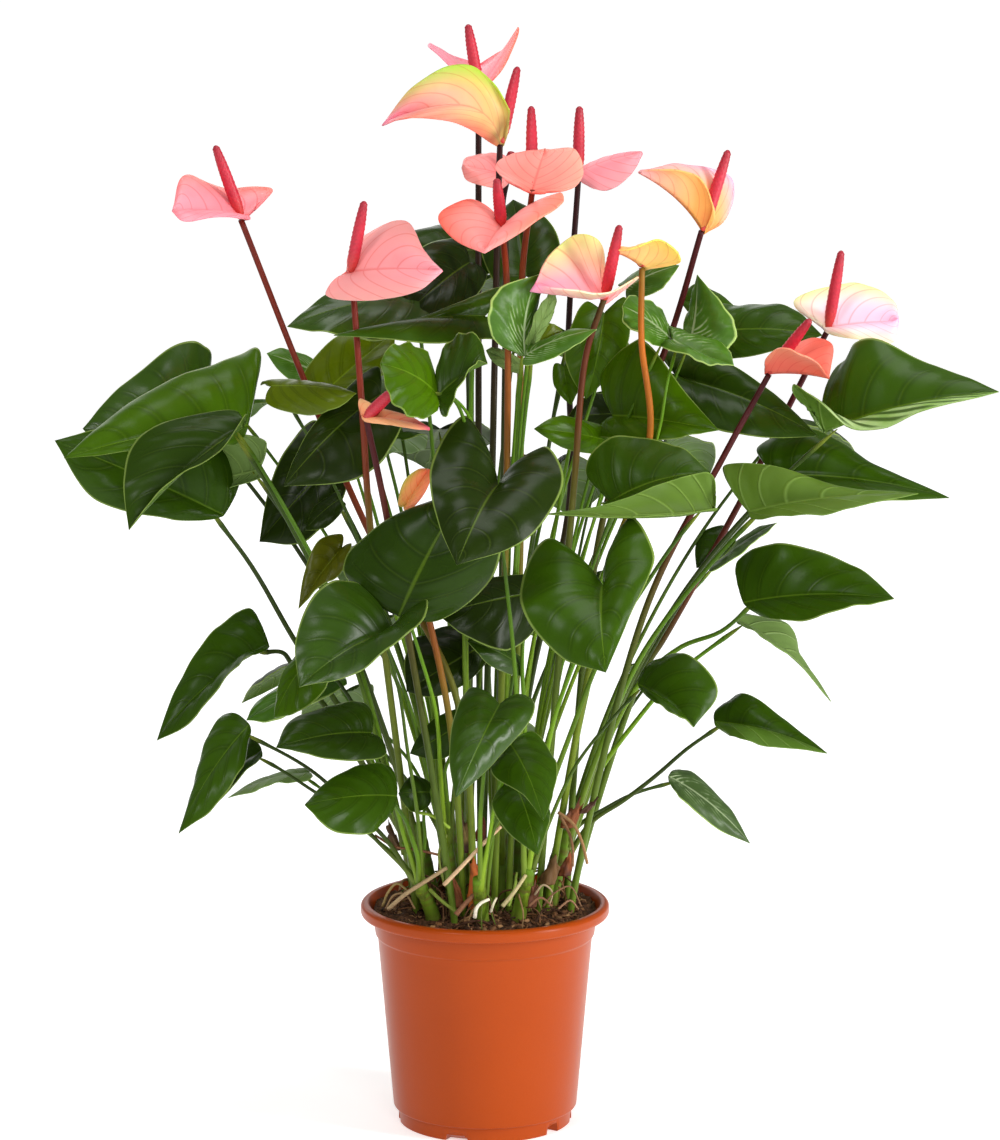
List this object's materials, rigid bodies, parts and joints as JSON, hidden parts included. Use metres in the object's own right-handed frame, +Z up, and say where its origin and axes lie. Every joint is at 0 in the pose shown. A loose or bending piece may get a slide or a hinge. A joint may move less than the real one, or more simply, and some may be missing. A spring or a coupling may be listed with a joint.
{
  "type": "potted anthurium",
  "caption": "Potted anthurium with heart-shaped glossy leaves, salmon-pink spathes with red spadices, and a tapered plastic pot with a rolled rim.",
  "frame": {"origin": "centre of the pot's underside, on the surface that the pot stands on", "axes": "+Z up along the pot's axis, +X to the right seen from the front, the front faces -Y"},
  "size_m": [0.6273, 0.4116, 0.7477],
  "materials": {
    "terracotta_plastic": "satin moulded plastic",
    "soil": "rough dark fibres",
    "leaf": "glossy leaf",
    "flower_stalk": "satin stalk",
    "spathe": "waxy spathe",
    "spadix": "fine bumps"
  },
  "bodies": {
    "root": {"pot": "terracotta_plastic", "potting_soil": "soil", "shoot_01": "leaf", "shoot_02": "leaf", "shoot_03": "leaf", "shoot_04": "leaf", "shoot_05": "leaf", "shoot_06": "leaf", "shoot_07": "leaf", "shoot_08": "leaf", "shoot_09": "leaf", "shoot_10": "leaf", "shoot_11": "leaf", "shoot_12": "leaf", "shoot_13": "leaf", "shoot_14": "leaf", "bloom_stalk_01": "flower_stalk", "bloom_stalk_02": "flower_stalk", "bloom_stalk_03": "flower_stalk", "bloom_stalk_04": "flower_stalk", "bloom_stalk_05": "flower_stalk", "bloom_stalk_06": "flower_stalk", "bloom_stalk_07": "flower_stalk", "bloom_stalk_08": "flower_stalk", "bloom_stalk_09": "flower_stalk", "bloom_stalk_10": "flower_stalk", "bloom_stalk_11": "flower_stalk", "bloom_stalk_12": "flower_stalk", "bloom_stalk_13": "flower_stalk", "bloom_stalk_14": "flower_stalk", "bloom_stalk_15": "flower_stalk", "spathe_01": "spathe", "spathe_02": "spathe", "spathe_03": "spathe", "spathe_04": "spathe", "spathe_05": "spathe", "spathe_06": "spathe", "spathe_07": "spathe", "spathe_08": "spathe", "spathe_09": "spathe", "spathe_10": "spathe", "spathe_11": "spathe", "spathe_12": "spathe", "spathe_13": "spathe", "spathe_14": "spathe", "spathe_15": "spathe", "spadix_01": "spadix", "spadix_02": "spadix", "spadix_03": "spadix", "spadix_04": "spadix", "spadix_05": "spadix", "spadix_06": "spadix", "spadix_07": "spadix", "spadix_08": "spadix", "spadix_09": "spadix", "spadix_10": "spadix", "spadix_11": "spadix", "spadix_12": "spadix", "spadix_13": "spadix", "spadix_14": "spadix"}
  },
  "joints": []
}
